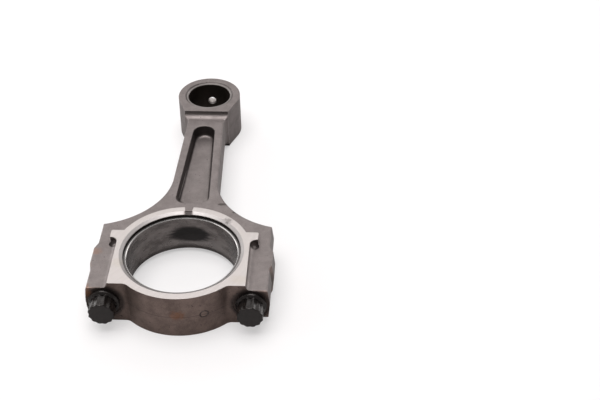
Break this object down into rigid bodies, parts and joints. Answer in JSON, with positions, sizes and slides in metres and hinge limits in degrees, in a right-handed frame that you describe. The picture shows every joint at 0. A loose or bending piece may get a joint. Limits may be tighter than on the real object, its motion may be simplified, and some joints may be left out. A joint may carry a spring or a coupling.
{
  "type": "connecting rod",
  "caption": "Forged I-beam connecting rod with bushed small end, split shell bearing and a cap held by twelve-point cap screws.",
  "frame": {"origin": "centre of the big-end bearing bore, at half the rod's width", "axes": "+Z along the bores, +Y along the rod towards the small end, +X to the right"},
  "size_m": [0.0884, 0.1858, 0.0234],
  "materials": {
    "forged_steel": "shot-peened forging with ground thrust faces",
    "cap_steel": "shot-peened forging with ground thrust faces and a darker strap",
    "bearing_lining": "dark satin lining on steel backing",
    "bush_bronze": "bored and dull",
    "sleeve_steel": "ground",
    "screw_black": "black oxide, lightly oiled"
  },
  "bodies": {
    "rod": {"rod_body": "forged_steel", "bearing_shell_rod_side": "bearing_lining", "small_end_bush": "bush_bronze", "dowel_sleeve_left": "sleeve_steel", "dowel_sleeve_right": "sleeve_steel"},
    "cap": {"rod_cap": "cap_steel", "bearing_shell_cap_side": "bearing_lining"},
    "screw_left": {"cap_screw_left": "screw_black"},
    "screw_right": {"cap_screw_right": "screw_black"}
  },
  "joints": [
    {"name": "cap_slide", "type": "slide", "parent": "rod", "child": "cap", "axis": [0, -1, 0], "range_m": [0, 0.015]},
    {"name": "screw_left_turn", "type": "hinge", "parent": "cap", "child": "screw_left", "pos_m": [-0.0344, 0, 0], "axis": [0, -1, 0], "range_deg": [0, 5400]},
    {"name": "screw_right_turn", "type": "hinge", "parent": "cap", "child": "screw_right", "pos_m": [0.0344, 0, 0], "axis": [0, -1, 0], "range_deg": [0, 5400]}
  ],
  "couplings": [
    {"joint": "screw_left_turn", "follows": "cap_slide", "rad_per_m": 6283.2},
    {"joint": "screw_right_turn", "follows": "cap_slide", "rad_per_m": 6283.2}
  ]
}
